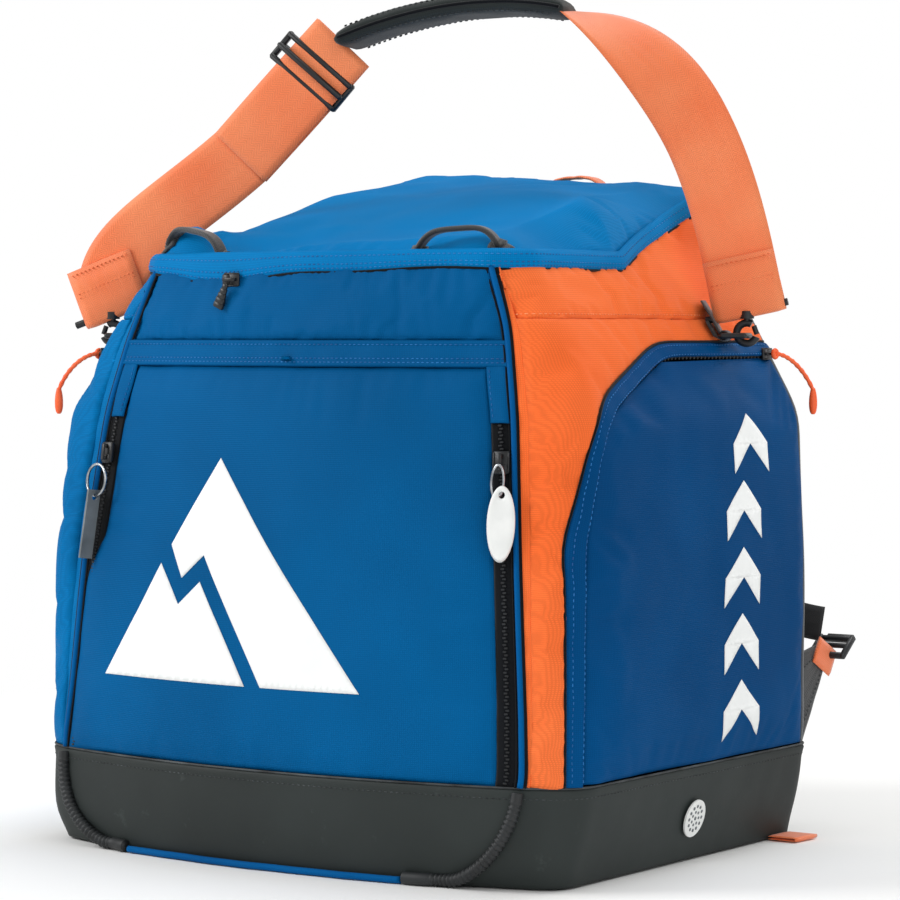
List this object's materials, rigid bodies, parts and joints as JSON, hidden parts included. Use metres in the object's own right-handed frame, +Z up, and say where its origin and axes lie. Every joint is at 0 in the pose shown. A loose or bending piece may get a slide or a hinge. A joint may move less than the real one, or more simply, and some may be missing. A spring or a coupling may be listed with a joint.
{
  "type": "ski boot bag",
  "caption": "Boxy soft bag with a zipped boot pocket on each side, a hinged lid, a front zip pocket, a clip-on shoulder strap and a back harness.",
  "frame": {"origin": "centre of the underside, on the floor plane", "axes": "+Z up, +X to the viewer's right of the front, front face towards -Y"},
  "size_m": [0.4698, 0.4225, 0.5901],
  "materials": {
    "blue_fabric": "woven polyester, fine plain weave, slight sheen",
    "orange_fabric": "woven polyester, fine plain weave",
    "tarpaulin": "smooth coated tarpaulin, low sheen",
    "board": "smooth stiffener board",
    "lining": "thin lining fabric",
    "zip_tape": "knitted zip tape with coil",
    "black_binding": "ribbed rubber binding",
    "blue_binding": "woven binding over cord",
    "back_mesh": "air mesh over foam",
    "black_webbing": "ribbed webbing",
    "orange_webbing": "herringbone webbing",
    "orange_cord": "moulded grip on cord",
    "pad_fabric": "soft grey fabric over foam",
    "black_plastic": "moulded acetal",
    "white_plastic": "moulded white plastic",
    "grey_rubber": "grey rubber",
    "steel_wire": "nickel plated wire"
  },
  "bodies": {
    "root": {"base_tub": "tarpaulin", "base_board": "board", "front_panel": "blue_fabric", "front_band": "blue_fabric", "front_yoke": "blue_fabric", "front_lining": "lining", "front_zips": "zip_tape", "seam_piping": "black_binding", "bottom_piping": "blue_binding", "corner_guards": "black_binding", "side_panel_right": "orange_fabric", "side_panel_left": "blue_fabric", "door_zip_right": "zip_tape", "door_zip_left": "zip_tape", "door_flap_right": "blue_fabric", "door_flap_left": "blue_fabric", "back_panel": "back_mesh", "back_pads": "back_mesh", "boot_dividers": "lining", "lid_zip": "zip_tape", "side_badge": "white_plastic", "base_tab": "orange_webbing", "ring_tabs": "black_webbing", "harness_wings": "black_webbing"},
    "lid": {"lid_shell": "blue_fabric", "lid_hem": "blue_fabric", "haul_loop": "orange_webbing"},
    "grab_loop_right": {"grab_loop_right": "black_webbing"},
    "grab_loop_left": {"grab_loop_left": "black_webbing"},
    "lid_slider": {"lid_slider": "black_plastic"},
    "lid_puller": {"lid_puller": "black_plastic"},
    "door_right": {"door_panel_right": "blue_fabric"},
    "door_left": {"door_panel_left": "blue_fabric"},
    "door_slider_right": {"door_slider_right": "black_plastic"},
    "door_slider_left": {"door_slider_left": "black_plastic"},
    "door_cord_right": {"door_cord_right": "orange_cord"},
    "door_cord_left": {"door_cord_left": "orange_cord"},
    "front_slider_right": {"front_slider_right": "black_plastic"},
    "front_slider_left": {"front_slider_left": "black_plastic"},
    "zip_tag_right": {"zip_tag_right": "white_plastic"},
    "zip_ring_left": {"zip_ring_left": "steel_wire"},
    "zip_tag_left": {"zip_tag_left": "grey_rubber"},
    "strap": {"strap_webbing_right": "orange_webbing", "strap_webbing_left": "orange_webbing", "shoulder_pad": "pad_fabric", "hook_swivel_right": "black_plastic", "hook_swivel_left": "black_plastic"},
    "strap_adjuster": {"strap_adjuster": "black_plastic"},
    "clip_ring_right": {"clip_ring_right": "black_plastic"},
    "clip_ring_left": {"clip_ring_left": "black_plastic"},
    "snap_hook_right": {"snap_hook_right": "black_plastic"},
    "snap_hook_left": {"snap_hook_left": "black_plastic"},
    "hook_gate_right": {"hook_gate_right": "black_plastic"},
    "hook_gate_left": {"hook_gate_left": "black_plastic"},
    "harness_right": {"harness_pad_right": "back_mesh", "harness_webbing_right": "black_webbing"},
    "harness_left": {"harness_pad_left": "back_mesh", "harness_webbing_left": "black_webbing"},
    "ladder_lock_right": {"ladder_lock_right": "black_plastic"},
    "ladder_lock_left": {"ladder_lock_left": "black_plastic"}
  },
  "joints": [
    {"name": "lid_open", "type": "hinge", "parent": "root", "child": "lid", "pos_m": [0, 0.1695, 0.45646], "axis": [-1, 0, 0], "range_deg": [0, 105], "deforming": ["strap_webbing_right", "strap_webbing_left", "shoulder_pad", "strap_adjuster"]},
    {"name": "grab_right_swing", "type": "hinge", "parent": "lid", "child": "grab_loop_right", "pos_m": [0.112, -0.124, 0.421], "axis": [0.9903, 0.1392, 0], "range_deg": [-35, 60]},
    {"name": "grab_left_swing", "type": "hinge", "parent": "lid", "child": "grab_loop_left", "pos_m": [-0.112, -0.124, 0.421], "axis": [0.9903, -0.1392, 0], "range_deg": [-35, 60]},
    {"name": "lid_zip_slide", "type": "slide", "parent": "root", "child": "lid_slider", "axis": [0.996, -0.0895, 0], "range_m": [-0.04, 0.04]},
    {"name": "lid_puller_swing", "type": "hinge", "parent": "lid_slider", "child": "lid_puller", "pos_m": [-0.06, -0.15508, 0.389], "axis": [-0.996, 0.0895, 0], "range_deg": [0, 100]},
    {"name": "door_right_open", "type": "hinge", "parent": "root", "child": "door_right", "pos_m": [0.22556, -0.1, 0.068], "axis": [-0.0642, 0.9979, 0], "range_deg": [0, 85]},
    {"name": "door_right_zip_slide", "type": "slide", "parent": "root", "child": "door_slider_right", "axis": [-0.0633, 0.998, 0], "range_m": [-0.105, 0]},
    {"name": "door_right_cord_swing", "type": "hinge", "parent": "door_slider_right", "child": "door_cord_right", "pos_m": [0.19102, 0.142, 0.3403], "axis": [0.0633, -0.998, 0], "range_deg": [0, 60]},
    {"name": "door_left_open", "type": "hinge", "parent": "root", "child": "door_left", "pos_m": [-0.22556, -0.1, 0.068], "axis": [-0.0642, -0.9979, 0], "range_deg": [0, 85]},
    {"name": "door_left_zip_slide", "type": "slide", "parent": "root", "child": "door_slider_left", "axis": [0.0633, 0.998, 0], "range_m": [0, 0.08]},
    {"name": "door_left_cord_swing", "type": "hinge", "parent": "door_slider_left", "child": "door_cord_left", "pos_m": [-0.20861, -0.118, 0.3403], "axis": [0.0633, 0.998, 0], "range_deg": [0, 60]},
    {"name": "front_right_zip_slide", "type": "slide", "parent": "root", "child": "front_slider_right", "axis": [-0.0927, 0.1222, 0.9882], "range_m": [-0.125, 0]},
    {"name": "zip_tag_right_swing", "type": "hinge", "parent": "front_slider_right", "child": "zip_tag_right", "pos_m": [0.16965, -0.1588, 0.263], "axis": [-0.9703, -0.2419, 0], "range_deg": [0, 80]},
    {"name": "front_left_zip_slide", "type": "slide", "parent": "root", "child": "front_slider_left", "axis": [0.0927, 0.1222, 0.9882], "range_m": [-0.125, 0]},
    {"name": "zip_ring_left_swing", "type": "hinge", "parent": "front_slider_left", "child": "zip_ring_left", "pos_m": [-0.17006, -0.16045, 0.263], "axis": [-0.9703, 0.2419, 0], "range_deg": [0, 60]},
    {"name": "zip_tag_left_swing", "type": "hinge", "parent": "zip_ring_left", "child": "zip_tag_left", "pos_m": [-0.17006, -0.16045, 0.241], "axis": [-0.9703, 0.2419, 0], "range_deg": [0, 30]},
    {"name": "strap_swing", "type": "hinge", "parent": "root", "child": "strap", "pos_m": [0, 0, 0.353], "axis": [-0.9135, -0.4067, 0], "range_deg": [-8, 8]},
    {"name": "adjuster_slide", "type": "slide", "parent": "strap", "child": "strap_adjuster", "axis": [-0.5997, -0.267, -0.7544], "range_m": [-0.002, 0.06]},
    {"name": "clip_ring_right_swing", "type": "hinge", "parent": "root", "child": "clip_ring_right", "pos_m": [0.18728, 0.08338, 0.353], "axis": [0.4067, -0.9135, 0], "range_deg": [0, 12]},
    {"name": "hook_right_swivel", "type": "hinge", "parent": "strap", "child": "snap_hook_right", "pos_m": [0.20098, 0.08948, 0.3548], "axis": [0, 0, 1], "range_deg": [-20, 20]},
    {"name": "hook_right_gate", "type": "hinge", "parent": "snap_hook_right", "child": "hook_gate_right", "pos_m": [0.20542, 0.09146, 0.35984], "axis": [-0.4067, 0.9135, 0], "range_deg": [0, 12], "stiffness_Nm_per_rad": 0.002},
    {"name": "harness_right_swing", "type": "hinge", "parent": "root", "child": "harness_right", "pos_m": [0, 0.19, 0.418], "axis": [1, 0, 0], "range_deg": [0, 14]},
    {"name": "ladder_lock_right_swing", "type": "hinge", "parent": "root", "child": "ladder_lock_right", "pos_m": [0, 0.206, 0.123], "axis": [1, 0, 0], "range_deg": [-15, 12]},
    {"name": "clip_ring_left_swing", "type": "hinge", "parent": "root", "child": "clip_ring_left", "pos_m": [-0.20189, -0.08989, 0.353], "axis": [-0.4067, 0.9135, 0], "range_deg": [0, 12]},
    {"name": "hook_left_swivel", "type": "hinge", "parent": "strap", "child": "snap_hook_left", "pos_m": [-0.2156, -0.09599, 0.3548], "axis": [0, 0, 1], "range_deg": [-20, 20]},
    {"name": "hook_left_gate", "type": "hinge", "parent": "snap_hook_left", "child": "hook_gate_left", "pos_m": [-0.22004, -0.09797, 0.35984], "axis": [0.4067, -0.9135, 0], "range_deg": [0, 12], "stiffness_Nm_per_rad": 0.002},
    {"name": "harness_left_swing", "type": "hinge", "parent": "root", "child": "harness_left", "pos_m": [0, 0.19, 0.418], "axis": [1, 0, 0], "range_deg": [0, 14]},
    {"name": "ladder_lock_left_swing", "type": "hinge", "parent": "root", "child": "ladder_lock_left", "pos_m": [0, 0.206, 0.123], "axis": [1, 0, 0], "range_deg": [-15, 12]}
  ]
}
